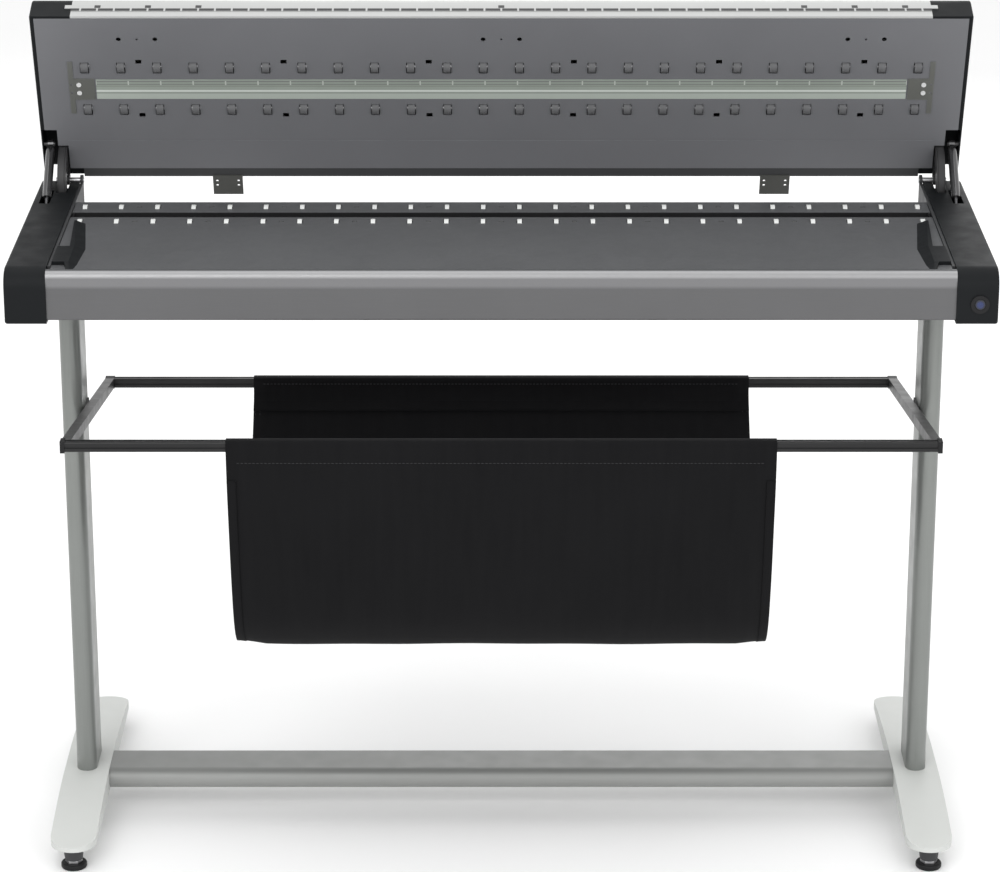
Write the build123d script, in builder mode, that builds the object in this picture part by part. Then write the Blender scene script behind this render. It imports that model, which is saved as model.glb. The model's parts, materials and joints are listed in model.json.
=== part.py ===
from build123d import *
import math
import os

os.makedirs("parts", exist_ok=True)

# ----------------------------------------------------------------------------
# A wide sheet-fed scanner on a two-post stand, with its lid open and a cloth
# catch sling below. Millimetres. X runs left to right, Y from the operator's
# side to the back and Z up from the floor. The origin is the middle of the
# whole machine, on the floor.
# ----------------------------------------------------------------------------

# Driving dimensions
overall_width = 1320.0
stand_y = 24.0  # centre plane of the two posts
roller_pitch = 50.8
rollers_per_row = 24
table_z = 866.0  # surface that the sheet slides on
base_floor_z = 796.0
lid_open_angle = 68.0

# Base unit, front to back
panel_front_y = stand_y - 223.0
cap_front_y = stand_y - 226.0
arm_rear_y = stand_y + 223.0
table_rear_y = stand_y + 122.0
hinge_y = stand_y + 220.0
hinge_z = 871.0
arm_top_z = 870.0
arm_inner_x = 604.2
frame_inner_x = 600.0
frame_plate = 4.0
wall = 3.0
sheet = 2.0

# Roller rows, measured forward from the lid hinge
front_row_reach = 195.0
rear_row_reach = 123.0
front_row_y = hinge_y - front_row_reach
rear_row_y = hinge_y - rear_row_reach
drive_radius = 12.0
drive_width = 6.0
drive_rise = 3.0  # how far a drive roller stands above the table
drive_z = table_z + drive_rise - drive_radius
shaft_radius = 4.0
running_gap = 0.05

# Lid, in its own frame: x, v (towards the back when shut) and w (up when shut)
lid_half = 655.0
lid_cap_x = 598.0
lid_front_v = -283.0
lid_rear_v = -4.7
lid_under_w = 3.0
lid_top_w = 86.0
panel_thick = 1.5
idler_radius = 9.0
idler_width = 10.0
idler_shaft_radius = 3.0
idler_w = 7.6
window_width = 12.5
window_length = 19.0
glass_half = 570.0
glass_near_v = -142.0
glass_far_v = -175.6

# Lid hinge arm and gas strut
arm_mid_x = 625.0
arm_thick = 12.0
hinge_pocket_x = (617.5, 631.6)
sector_outer = 56.0
sector_inner = 38.0
pin_radius = 4.0
strut_x = 643.0
strut_lid_v = -56.0
strut_lid_w = 12.0
strut_base_y = stand_y + 81.0
strut_base_z = 822.0
strut_radius = 6.5
strut_eye_half = 4.0
strut_bore = 5.05
rod_radius = 3.0

# Stand
post_x = 598.0
post_width = 29.0
post_depth = 85.0
tube_wall = 2.5
foot_bar_width = 64.0
foot_bar_front = stand_y - 250.0
foot_bar_rear = stand_y + 280.0
foot_bar_under_z = 32.0
foot_bar_end_z = 38.5
foot_bar_crown_z = 62.0
post_plate_z = 791.0
plate_thick = 5.0
foot_inset = 24.0
pad_radius = 18.0
pad_height = 8.0
stem_radius = 5.0
stem_top_z = 34.0

# Catch frame and its sling
bar_size = 14.0
basket_half = 581.0
front_bar_y = stand_y - 318.0
front_bar_z = 658.0
rear_bar_y = stand_y + 237.0
rear_bar_z = 559.0
basket_arm_x = 574.0
basket_arm_width = 13.0
sling_half = 363.0
cloth = 2.4

# Frames for the lid, which is modelled where it stands open
open_rad = math.radians(lid_open_angle)
lid_floor = Plane(
    origin=(0, hinge_y, hinge_z),
    x_dir=(1, 0, 0),
    z_dir=(0, math.sin(open_rad), math.cos(open_rad)),
)
lid_side = Plane(origin=(0, hinge_y, hinge_z), x_dir=lid_floor.y_dir, z_dir=(1, 0, 0))


def spread(count, pitch):
    """Evenly pitched positions, centred on zero."""
    return [pitch * (i - (count - 1) / 2) for i in range(count)]


def block(x, y, z, mode=Mode.ADD):
    """A box between pairs of limits, in the current workplane's frame."""
    size = [max(pair) - min(pair) for pair in (x, y, z)]
    middle = [(pair[0] + pair[1]) / 2 for pair in (x, y, z)]
    with Locations(tuple(middle)):
        Box(size[0], size[1], size[2], mode=mode)


def round_x(x, y, z, radius, mode=Mode.ADD):
    """A round bar along X between two limits."""
    with Locations(((x[0] + x[1]) / 2, y, z)):
        Cylinder(radius, abs(x[1] - x[0]), rotation=(0, 90, 0), mode=mode)


def round_z(x, y, z, radius, mode=Mode.ADD):
    """A round bar along Z between two limits."""
    with Locations((x, y, (z[0] + z[1]) / 2)):
        Cylinder(radius, abs(z[1] - z[0]), mode=mode)


roller_x = spread(rollers_per_row, roller_pitch)
sensor_x = spread(rollers_per_row // 2 - 1, 2 * roller_pitch)
sides = {"left": -1, "right": 1}
foot_x = {"left": -post_x, "right": post_x}
foot_y = {"front": foot_bar_front + foot_inset, "rear": foot_bar_rear - foot_inset}

# ----------------------------------------------------------------------------
# Stand
# ----------------------------------------------------------------------------
for hand, side in sides.items():
    with BuildPart() as post:
        with BuildSketch(Plane((side * post_x, stand_y, foot_bar_crown_z))):
            SlotOverall(post_depth, post_width, rotation=90)
            SlotOverall(
                post_depth - 2 * tube_wall,
                post_width - 2 * tube_wall,
                rotation=90,
                mode=Mode.SUBTRACT,
            )
        extrude(amount=post_plate_z - foot_bar_crown_z)
    post.part.label = f"post_{hand}"
    export_step(post.part, f"parts/post_{hand}.step")

foot_bar_length = foot_bar_rear - foot_bar_front
foot_bar_mid = (foot_bar_rear + foot_bar_front) / 2
seat_half = post_depth / 2 + 8.0
crown_sag_z = 54.5  # height of the curved top half way along each end

for hand, side in sides.items():
    with BuildPart() as foot_bar:
        with BuildSketch(Plane((side * post_x, foot_bar_mid, foot_bar_under_z))):
            SlotOverall(foot_bar_length, foot_bar_width, rotation=90)
        extrude(amount=foot_bar_crown_z - foot_bar_under_z)
        with BuildSketch(Plane.YZ.offset(side * post_x)):
            with BuildLine():
                rear_seat = (stand_y + seat_half, foot_bar_crown_z)
                front_seat = (stand_y - seat_half, foot_bar_crown_z)
                rear_tip = (foot_bar_rear, foot_bar_end_z)
                front_tip = (foot_bar_front, foot_bar_end_z)
                Polyline(rear_seat, front_seat)
                ThreePointArc(
                    front_seat,
                    ((front_seat[0] + foot_bar_front) / 2, crown_sag_z),
                    front_tip,
                )
                Polyline(
                    front_tip,
                    (foot_bar_front, foot_bar_under_z),
                    (foot_bar_rear, foot_bar_under_z),
                    rear_tip,
                )
                ThreePointArc(
                    rear_tip,
                    ((rear_seat[0] + foot_bar_rear) / 2, crown_sag_z),
                    rear_seat,
                )
            make_face()
        extrude(amount=foot_bar_width, both=True, mode=Mode.INTERSECT)
        for y in foot_y.values():
            round_z(
                side * post_x,
                y,
                (foot_bar_under_z, stem_top_z + 3.0),
                stem_radius + 0.5,
                mode=Mode.SUBTRACT,
            )
    foot_bar.part.label = f"foot_bar_{hand}"
    export_step(foot_bar.part, f"parts/foot_bar_{hand}.step")

beam_half = post_x - foot_bar_width / 2
beam_height = 30.0
beam_z = foot_bar_crown_z - 1.0 - beam_height / 2

with BuildPart() as cross_beam:
    with BuildSketch(Plane.YZ.offset(-beam_half)):
        with Locations((stand_y, beam_z)):
            SlotOverall(post_depth, beam_height)
            SlotOverall(
                post_depth - 2 * tube_wall,
                beam_height - 2 * tube_wall,
                mode=Mode.SUBTRACT,
            )
    extrude(amount=2 * beam_half)
cross_beam.part.label = "cross_beam"
export_step(cross_beam.part, "parts/cross_beam.step")

plate_screw_x = 20.0
plate_screw_y = 52.0
plate_screw_radius = 3.0
plate_size = (56.0, 124.0)
plate_corner = 6.0

with BuildPart() as post_plates:
    for side in sides.values():
        with BuildSketch(Plane((side * post_x, stand_y, post_plate_z))):
            RectangleRounded(*plate_size, plate_corner)
            with GridLocations(2 * plate_screw_x, 2 * plate_screw_y, 2, 2):
                Circle(plate_screw_radius, mode=Mode.SUBTRACT)
    extrude(amount=plate_thick)
post_plates.part.label = "post_plates"
export_step(post_plates.part, "parts/post_plates.step")

socket_under_z = 13.0
socket_under_radius = 12.5
socket_upper_radius = 15.0

with BuildPart() as foot_sockets:
    for x in foot_x.values():
        for y in foot_y.values():
            with Locations((x, y, (socket_under_z + foot_bar_under_z) / 2)):
                socket_height = foot_bar_under_z - socket_under_z
                Cone(socket_under_radius, socket_upper_radius, socket_height)
            socket_z = (socket_under_z, foot_bar_under_z)
            round_z(x, y, socket_z, stem_radius + running_gap, mode=Mode.SUBTRACT)
foot_sockets.part.label = "foot_sockets"
export_step(foot_sockets.part, "parts/foot_sockets.step")

with BuildPart() as stand_fasteners:
    for x in foot_x.values():
        for y in foot_y.values():
            with BuildSketch(Plane((x, y, pad_height + 0.3))):
                RegularPolygon(12.0, 6)
                Circle(stem_radius + running_gap, mode=Mode.SUBTRACT)
            extrude(amount=socket_under_z - pad_height - 0.3)
        for dx in (-plate_screw_x, plate_screw_x):
            for dy in (-plate_screw_y, plate_screw_y):
                with BuildSketch(Plane((x + dx, stand_y + dy, post_plate_z - 4.0))):
                    RegularPolygon(5.5, 6)
                extrude(amount=4.0)
                round_z(
                    x + dx,
                    stand_y + dy,
                    (post_plate_z, post_plate_z + plate_thick),
                    plate_screw_radius,
                )
stand_fasteners.part.label = "stand_fasteners"
export_step(stand_fasteners.part, "parts/stand_fasteners.step")

for end, y in foot_y.items():
    for hand, x in foot_x.items():
        with BuildPart() as levelling_foot:
            round_z(x, y, (0.0, pad_height), pad_radius)
            rims = levelling_foot.edges().filter_by(GeomType.CIRCLE)
            fillet(rims, radius=2.5)
            round_z(x, y, (pad_height, stem_top_z), stem_radius)
        levelling_foot.part.label = f"levelling_foot_{end}_{hand}"
        export_step(levelling_foot.part, f"parts/levelling_foot_{end}_{hand}.step")

# ----------------------------------------------------------------------------
# Catch frame and sling
# ----------------------------------------------------------------------------
frame_slope = (front_bar_z - rear_bar_z) / (front_bar_y - rear_bar_y)


def frame_height(y):
    """Height of the catch frame's centre line at a place front to back."""
    return rear_bar_z + frame_slope * (y - rear_bar_y)


bar_ends = {"front": basket_half - 6.0, "rear": basket_half - 13.5}
bar_places = {"front": (front_bar_y, front_bar_z), "rear": (rear_bar_y, rear_bar_z)}
bar_round = 2.5
channel_depth = 1.4
channel_width = 3.2

for end, place in bar_places.items():
    with BuildPart() as basket_bar:
        with BuildSketch(Plane.YZ.offset(-bar_ends[end])):
            with Locations(place):
                RectangleRounded(bar_size, bar_size, bar_round)
                with PolarLocations(bar_size / 2, 4):
                    Rectangle(2 * channel_depth, channel_width, mode=Mode.SUBTRACT)
        extrude(amount=2 * bar_ends[end])
    basket_bar.part.label = f"basket_{end}_bar"
    export_step(basket_bar.part, f"parts/basket_{end}_bar.step")

arm_front_y = front_bar_y + bar_size / 2
arm_back_y = rear_bar_y - 7.5
arm_half_z = bar_size / 2 + 0.1


with BuildPart() as basket_arms:
    for side in sides.values():
        start_x = side * basket_arm_x - basket_arm_width / 2
        with BuildSketch(Plane.YZ.offset(start_x)):
            with BuildLine():
                Polyline(
                    (arm_front_y, frame_height(arm_front_y) - arm_half_z),
                    (arm_back_y, frame_height(arm_back_y) - arm_half_z),
                    (arm_back_y, frame_height(arm_back_y) + arm_half_z),
                    (arm_front_y, frame_height(arm_front_y) + arm_half_z),
                    close=True,
                )
            make_face()
        extrude(amount=basket_arm_width)
basket_arms.part.label = "basket_arms"
export_step(basket_arms.part, "parts/basket_arms.step")

spacer_half_y = 20.0
spacer_half_z = 8.5
post_inner_x = post_x - post_width / 2
arm_outer_x = basket_arm_x + basket_arm_width / 2

with BuildPart() as basket_fittings:
    for side in sides.values():
        with Locations((side * (basket_half - 6.75), rear_bar_y, rear_bar_z)):
            Box(13.5, 15, 15)
        with Locations((side * (basket_half - 3.0), front_bar_y, front_bar_z)):
            Box(6, 16, 16)
        spacer_z = frame_height(stand_y)
        block(
            (side * arm_outer_x, side * post_inner_x),
            (stand_y - spacer_half_y, stand_y + spacer_half_y),
            (spacer_z - spacer_half_z, spacer_z + spacer_half_z),
        )
    add(basket_arms.part, mode=Mode.SUBTRACT)
basket_fittings.part.label = "basket_fittings"
export_step(basket_fittings.part, "parts/basket_fittings.step")

hem_gap = 0.4
hem_outer = bar_size + 2 * (hem_gap + cloth)
sling_run = [
    (-327.0, 651.0),
    (-312.0, 560.0),
    (-288.0, 455.0),
    (-256.0, 374.0),
    (-205.0, 328.0),
    (-130.0, 318.0),
    (-40.0, 345.0),
    (70.0, 408.0),
    (165.0, 478.0),
    (229.0, 551.0),
]

with BuildPart() as sling:
    with BuildSketch(Plane.YZ.offset(-sling_half)):
        with BuildLine():
            Spline(*[(stand_y + y, z) for y, z in sling_run])
        trace(line_width=cloth)
        with Locations(*bar_places.values()):
            RectangleRounded(hem_outer, hem_outer, bar_round + cloth)
        with Locations(*bar_places.values()):
            RectangleRounded(
                bar_size + 2 * hem_gap,
                bar_size + 2 * hem_gap,
                bar_round,
                mode=Mode.SUBTRACT,
            )
    extrude(amount=2 * sling_half)
sling.part.label = "sling"
export_step(sling.part, "parts/sling.step")

# ----------------------------------------------------------------------------
# Base unit: tray, tables, front panel and side frames
# ----------------------------------------------------------------------------
table_half = frame_inner_x - 0.5
tray_front_y = stand_y - 198.0
rib_y = stand_y - 60.0
groove_front_y = stand_y + 45.0
groove_rear_y = stand_y + 70.0
table_under_z = table_z - sheet
io_mid_x = -470.0
io_width = 180.0
io_height = 46.0
io_mid_z = 828.0

with BuildPart() as base_tray:
    span = (-table_half, table_half)
    block(span, (tray_front_y, table_rear_y), (base_floor_z, base_floor_z + sheet))
    for y in (tray_front_y, rib_y, table_rear_y - sheet):
        block(span, (y, y + sheet), (base_floor_z, table_under_z))
    block(
        (io_mid_x - io_width / 2 + 6, io_mid_x + io_width / 2 - 6),
        (table_rear_y - 2 * sheet, table_rear_y + sheet),
        (io_mid_z - io_height / 2 + 5, io_mid_z + io_height / 2 - 5),
        mode=Mode.SUBTRACT,
    )
base_tray.part.label = "base_tray"
export_step(base_tray.part, "parts/base_tray.step")

roller_hole = (8.0, 21.0)
sensor_hole = (7.0, 5.0)


def table_sheet(y_limits, row_y):
    """A table sheet with a row of roller windows and sensor slots."""
    with BuildPart() as plate:
        block((-table_half, table_half), y_limits, (table_under_z, table_z))
        with BuildSketch(Plane.XY.offset(table_under_z)):
            with Locations(*[(x, row_y) for x in roller_x]):
                RectangleRounded(roller_hole[0], roller_hole[1], 1.5)
            with Locations(*[(x, row_y) for x in sensor_x]):
                Rectangle(*sensor_hole)
        extrude(amount=sheet, mode=Mode.SUBTRACT)
    return plate.part


feed_table = table_sheet((stand_y - 211.0, groove_front_y), front_row_y)
feed_table.label = "feed_table"
export_step(feed_table, "parts/feed_table.step")

rear_table = table_sheet((groove_rear_y, table_rear_y), rear_row_y)
rear_table.label = "rear_table"
export_step(rear_table, "parts/rear_table.step")

backing_half = table_half - 2.0
backing_bottom_z = 858.0

with BuildPart() as scan_backing:
    groove = (groove_front_y + 0.3, groove_rear_y - 0.3)
    block((-backing_half, backing_half), groove, (backing_bottom_z, table_z - 0.4))
    block(
        (-backing_half + 1.5, backing_half - 1.5),
        (groove[0] + 1.5, groove[1] - 1.5),
        (table_z - 5.0, table_z),
        mode=Mode.SUBTRACT,
    )
scan_backing.part.label = "scan_backing"
export_step(scan_backing.part, "parts/scan_backing.step")

with BuildPart() as media_sensors:
    for y in (front_row_y, rear_row_y):
        with Locations(*[(x, y, table_under_z - 1.2) for x in sensor_x]):
            Box(12, 9, 2.4)
        with Locations(*[(x, y, table_under_z + 0.6) for x in sensor_x]):
            Box(5, 3.6, 1.2)
media_sensors.part.label = "media_sensors"
export_step(media_sensors.part, "parts/media_sensors.step")

panel_wall = 2.5
panel_bottom_z = 800.5
panel_nose = 10.0

with BuildPart() as front_panel:
    with BuildSketch(Plane.YZ.offset(-arm_inner_x + 0.2)):
        with BuildLine():
            half_wall = panel_wall / 2
            FilletPolyline(
                (panel_front_y + 20.0, panel_bottom_z + half_wall),
                (panel_front_y + half_wall, panel_bottom_z + half_wall),
                (panel_front_y + half_wall, table_z + half_wall),
                (panel_front_y + 12.0, table_z + half_wall),
                radius=[2.0, panel_nose - half_wall],
            )
        trace(line_width=panel_wall)
    extrude(amount=2 * (arm_inner_x - 0.2))
front_panel.part.label = "front_panel"
export_step(front_panel.part, "parts/front_panel.step")

frame_outer_x = frame_inner_x + frame_plate
frame_top_z = 868.0
ear_radius = 7.5
outer_ear_x = (632.6, 636.6)
anchor_ear_x = ((633.5, 635.5), (650.5, 652.5))
anchor_stub_x = (strut_x - strut_eye_half - 0.3, strut_x + strut_eye_half + 0.3)
anchor_stub_radius = 3.5
anchor_y = (strut_base_y - 16.0, strut_base_y + 14.0)
frame_floor_z = base_floor_z + wall + 0.2
web_top_z = frame_floor_z + 4.0
bush_radius = 8.0
motor_y = stand_y + 61.0
motor_z = 822.0
motor_boss = 11.0

for hand, side in sides.items():
    with BuildPart() as side_frame:
        plate_x = (side * frame_inner_x, side * frame_outer_x)
        block(plate_x, (stand_y - 196.0, arm_rear_y), (frame_floor_z, frame_top_z))
        round_x(plate_x, hinge_y, hinge_z, ear_radius)
        ear_x = [side * value for value in outer_ear_x]
        block(ear_x, (hinge_y - ear_radius, hinge_y - 2.0), (frame_floor_z, hinge_z))
        round_x(ear_x, hinge_y, hinge_z, ear_radius)
        web_x = (side * frame_inner_x, side * outer_ear_x[1])
        block(web_x, (hinge_y - 38.0, hinge_y - 2.0), (frame_floor_z, web_top_z))
        tray_x = (side * frame_inner_x, side * anchor_ear_x[1][1])
        block(tray_x, anchor_y, (frame_floor_z, web_top_z))
        for pair, tip in zip(anchor_ear_x, anchor_stub_x):
            anchor_x = [side * value for value in pair]
            block(anchor_x, anchor_y, (frame_floor_z, strut_base_z + 14.0))
            stub_x = (side * sum(pair) / 2, side * tip)
            round_x(stub_x, strut_base_y, strut_base_z, anchor_stub_radius)
        pin_span = (side * frame_inner_x, side * outer_ear_x[1])
        round_x(pin_span, hinge_y, hinge_z, pin_radius, mode=Mode.SUBTRACT)
        for y in (front_row_y, rear_row_y):
            round_x(plate_x, y, drive_z, bush_radius, mode=Mode.SUBTRACT)
        if hand == "right":
            round_x(plate_x, motor_y, motor_z, motor_boss, mode=Mode.SUBTRACT)
    side_frame.part.label = f"side_frame_{hand}"
    export_step(side_frame.part, f"parts/side_frame_{hand}.step")

with BuildPart() as hinge_pins:
    for side in sides.values():
        pin_x = (side * (frame_inner_x - 1.0), side * (outer_ear_x[1] + 2.0))
        round_x(pin_x, hinge_y, hinge_z, pin_radius)
hinge_pins.part.label = "hinge_pins"
export_step(hinge_pins.part, "parts/hinge_pins.step")

cap_outer_x = overall_width / 2
nose_radius = 26.0
button_x = 635.0
button_z = 824.0
bezel_radius = 12.4
bezel_barrel = 9.5
button_radius = 7.1


def cap_profile(inset):
    """Side view of a side cap, drawn smaller by an inset all round."""
    with BuildSketch(Plane.YZ) as profile:
        with BuildLine():
            front = cap_front_y + inset
            rear = arm_rear_y - inset
            low = base_floor_z + inset
            top = arm_top_z - inset
            FilletPolyline(
                (front, low),
                (front, top),
                (rear, top),
                (rear, low),
                radius=[4.0 - inset / 2, nose_radius - inset, 4.0 - inset / 2, 6.0 - inset],
                close=True,
            )
        make_face()
    return profile.sketch


for hand, side in sides.items():
    with BuildPart() as side_cap:
        thick = cap_outer_x - arm_inner_x
        outer = cap_profile(0.0).moved(Location((side * arm_inner_x, 0, 0)))
        extrude(outer, amount=side * thick)
        rim_face = side_cap.faces().sort_by(Axis.X)[-1 if side > 0 else 0]
        fillet(rim_face.edges(), radius=3.5)
        inner = cap_profile(wall).moved(Location((side * arm_inner_x, 0, 0)))
        extrude(inner, amount=side * (thick - wall), mode=Mode.SUBTRACT)
        slot_rear = arm_rear_y + 1.0
        hinge_slot_x = (side * hinge_pocket_x[0], side * 632.4)
        block(hinge_slot_x, (hinge_y - 63.0, slot_rear), (858.0, 880.0), mode=Mode.SUBTRACT)
        ear_slot_x = (side * frame_outer_x, side * 639.2)
        block(ear_slot_x, (hinge_y - 9.0, slot_rear), (858.0, 880.0), mode=Mode.SUBTRACT)
        strut_slot_x = (side * 635.4, side * 650.6)
        strut_slot_y = (strut_base_y + 20.0, strut_base_y + 88.0)
        block(strut_slot_x, strut_slot_y, (864.0, 880.0), mode=Mode.SUBTRACT)
        if hand == "right":
            with BuildSketch(Plane.XZ.offset(-cap_front_y)):
                with Locations((button_x, button_z)):
                    Circle(bezel_barrel)
            extrude(amount=-2 * wall, mode=Mode.SUBTRACT)
    side_cap.part.label = f"side_cap_{hand}"
    export_step(side_cap.part, f"parts/side_cap_{hand}.step")

guide_top_z = 871.0
guide_plate_y = (stand_y - 184.0, stand_y - 111.0)
guide_plate_x = 577.0
# Place front to back, then half-widths to the foot, crest and back, then height
guide_sections = [
    (-209.0, 570.0, 574.0, 577.0, 867.0),
    (-184.0, 566.0, 577.0, 583.0, guide_top_z),
    (-111.0, 562.0, 577.0, 583.0, guide_top_z),
    (13.0, 575.0, 588.0, 590.5, guide_top_z),
]


def guide_solid(side):
    """The raised guide that steers a sheet's edge clear of the side arm."""
    with BuildPart() as guide:
        for y, foot, crest, back, top in guide_sections:
            with BuildSketch(Plane.XZ.offset(-(stand_y + y))):
                with BuildLine():
                    Polyline(
                        (side * foot, table_z),
                        (side * crest, top),
                        (side * back, top),
                        (side * back, table_z),
                        close=True,
                    )
                make_face()
        loft(ruled=True)
        plate_x = (side * guide_plate_x, side * table_half)
        block(plate_x, guide_plate_y, (table_z, guide_top_z))
    return guide.part


with BuildPart() as side_guides:
    for side in sides.values():
        add(guide_solid(side))
side_guides.part.label = "side_guides"
export_step(side_guides.part, "parts/side_guides.step")

# ----------------------------------------------------------------------------
# Drive train: shafts, rollers, supports, motor and belt
# ----------------------------------------------------------------------------
row_y = {"front": front_row_y, "rear": rear_row_y}
shaft_pulley_radius = 7.5
motor_pulley_radius = 6.0
pulley_x = (612.0, 621.0)
belt_x = (613.0, 620.0)
belt_thick = 1.6
support_x = spread(4, 6 * roller_pitch)

for end, y in row_y.items():
    with BuildPart() as drive_shaft:
        round_x((-frame_inner_x - 4.5, pulley_x[1] + 1.5), y, drive_z, shaft_radius)
        round_x(pulley_x, y, drive_z, shaft_pulley_radius - 0.6)
        for rim_x in (pulley_x[0], pulley_x[1] - 0.8):
            round_x((rim_x, rim_x + 0.8), y, drive_z, shaft_pulley_radius + 1.4)
    drive_shaft.part.label = f"drive_shaft_{end}"
    export_step(drive_shaft.part, f"parts/drive_shaft_{end}.step")

for end, y in row_y.items():
    with BuildPart() as drive_rollers:
        with Locations(*[(x, y, drive_z) for x in roller_x]):
            Cylinder(drive_radius, drive_width, rotation=(0, 90, 0))
        round_x((-frame_inner_x, frame_inner_x), y, drive_z, shaft_radius, mode=Mode.SUBTRACT)
    drive_rollers.part.label = f"drive_rollers_{end}"
    export_step(drive_rollers.part, f"parts/drive_rollers_{end}.step")

with BuildPart() as shaft_supports:
    for y in row_y.values():
        for side in sides.values():
            bush_x = (side * frame_inner_x, side * frame_outer_x)
            flange_x = (side * (frame_inner_x - 1.2), side * frame_inner_x)
            round_x(bush_x, y, drive_z, bush_radius)
            round_x(flange_x, y, drive_z, bush_radius - 1.2)
        for x in support_x:
            block(
                (x - 5.0, x + 5.0),
                (y - 9.0, y + 9.0),
                (base_floor_z + sheet, table_under_z),
            )
    for y in row_y.values():
        bore_x = (-frame_inner_x - 10.0, frame_inner_x + 10.0)
        bore = shaft_radius + running_gap
        round_x(bore_x, y, drive_z, bore, mode=Mode.SUBTRACT)
shaft_supports.part.label = "shaft_supports"
export_step(shaft_supports.part, "parts/shaft_supports.step")

motor_radius = 19.0
motor_length = 46.0
motor_shaft_radius = 3.0

with BuildPart() as drive_motor:
    can_x = (frame_inner_x - motor_length, frame_inner_x - 3.0)
    round_x(can_x, motor_y, motor_z, motor_radius)
    with Locations((frame_inner_x - 1.5, motor_y, motor_z)):
        Box(3.0, 42.0, 42.0)
    round_x((frame_inner_x, frame_outer_x), motor_y, motor_z, motor_boss - 0.2)
    bore_x = (frame_inner_x - 20.0, frame_outer_x + 1.0)
    bore = motor_shaft_radius + running_gap
    round_x(bore_x, motor_y, motor_z, bore, mode=Mode.SUBTRACT)
drive_motor.part.label = "drive_motor"
export_step(drive_motor.part, "parts/drive_motor.step")

with BuildPart() as motor_pulley:
    round_x((frame_inner_x - 16.0, pulley_x[1]), motor_y, motor_z, motor_shaft_radius)
    round_x(pulley_x, motor_y, motor_z, motor_pulley_radius - 0.6)
    for rim_x in (pulley_x[0], pulley_x[1] - 0.8):
        round_x((rim_x, rim_x + 0.8), motor_y, motor_z, motor_pulley_radius + 1.4)
motor_pulley.part.label = "motor_pulley"
export_step(motor_pulley.part, "parts/motor_pulley.step")

belt_run = [(front_row_y, drive_z, shaft_pulley_radius)]
belt_run += [(rear_row_y, drive_z, shaft_pulley_radius)]
belt_run += [(motor_y, motor_z, motor_pulley_radius)]

with BuildPart() as drive_belt:
    with BuildSketch(Plane.YZ.offset(belt_x[0])):
        for extra, mode in ((belt_thick, Mode.ADD), (0.0, Mode.SUBTRACT)):
            with BuildSketch(mode=mode):
                for y, z, radius in belt_run:
                    with Locations((y, z)):
                        Circle(radius + extra)
                make_hull()
    extrude(amount=belt_x[1] - belt_x[0])
drive_belt.part.label = "drive_belt"
export_step(drive_belt.part, "parts/drive_belt.step")

# ----------------------------------------------------------------------------
# Electronics
# ----------------------------------------------------------------------------
floor_top_z = base_floor_z + sheet

with BuildPart() as main_board:
    board_z = floor_top_z + 6.0
    block((-300, -80), (stand_y - 170, stand_y - 70), (board_z, board_z + 1.6))
    chip_z = board_z + 1.6
    block((-240, -204), (stand_y - 140, stand_y - 104), (chip_z, chip_z + 3.0))
    block((-180, -150), (stand_y - 130, stand_y - 112), (chip_z, chip_z + 2.0))
    block((-130, -88), (stand_y - 92, stand_y - 76), (chip_z, chip_z + 9.0))
    block((-290, -270), (stand_y - 160, stand_y - 82), (chip_z, chip_z + 8.0))
    for x in (-292.0, -88.0):
        for y in (stand_y - 164.0, stand_y - 76.0):
            round_z(x, y, (floor_top_z, board_z), 3.5)
main_board.part.label = "main_board"
export_step(main_board.part, "parts/main_board.step")

with BuildPart() as power_supply:
    block((-440, -300), (stand_y - 44, stand_y + 44), (floor_top_z, floor_top_z + 38.0))
    with BuildSketch(Plane((-370, stand_y, floor_top_z + 38.0))):
        with GridLocations(10.0, 36.0, 12, 2):
            SlotOverall(26.0, 4.0, rotation=90)
    extrude(amount=-3.0, mode=Mode.SUBTRACT)
power_supply.part.label = "power_supply"
export_step(power_supply.part, "parts/power_supply.step")

inlet_x = -515.0
inlet_size = (27.5, 20.5)
io_y = table_rear_y

with BuildPart() as io_panel:
    with BuildSketch(Plane.XZ.offset(-io_y)):
        with Locations((io_mid_x, io_mid_z)):
            RectangleRounded(io_width, io_height, 4)
        with Locations((inlet_x, io_mid_z)):
            Rectangle(inlet_size[0], inlet_size[1], mode=Mode.SUBTRACT)
    extrude(amount=-sheet)
    port_back = (io_y - 14.0, io_y)
    block((-474, -456), port_back, (io_mid_z - 8.0, io_mid_z + 8.0))
    block((-440, -424), port_back, (io_mid_z - 7.0, io_mid_z + 7.0))
    mouth_y = (io_y - 10.0, io_y + sheet)
    block((-472, -458), mouth_y, (io_mid_z - 6.0, io_mid_z + 6.0), mode=Mode.SUBTRACT)
    block((-438, -426), mouth_y, (io_mid_z - 5.0, io_mid_z + 5.0), mode=Mode.SUBTRACT)
io_panel.part.label = "io_panel"
export_step(io_panel.part, "parts/io_panel.step")

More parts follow.
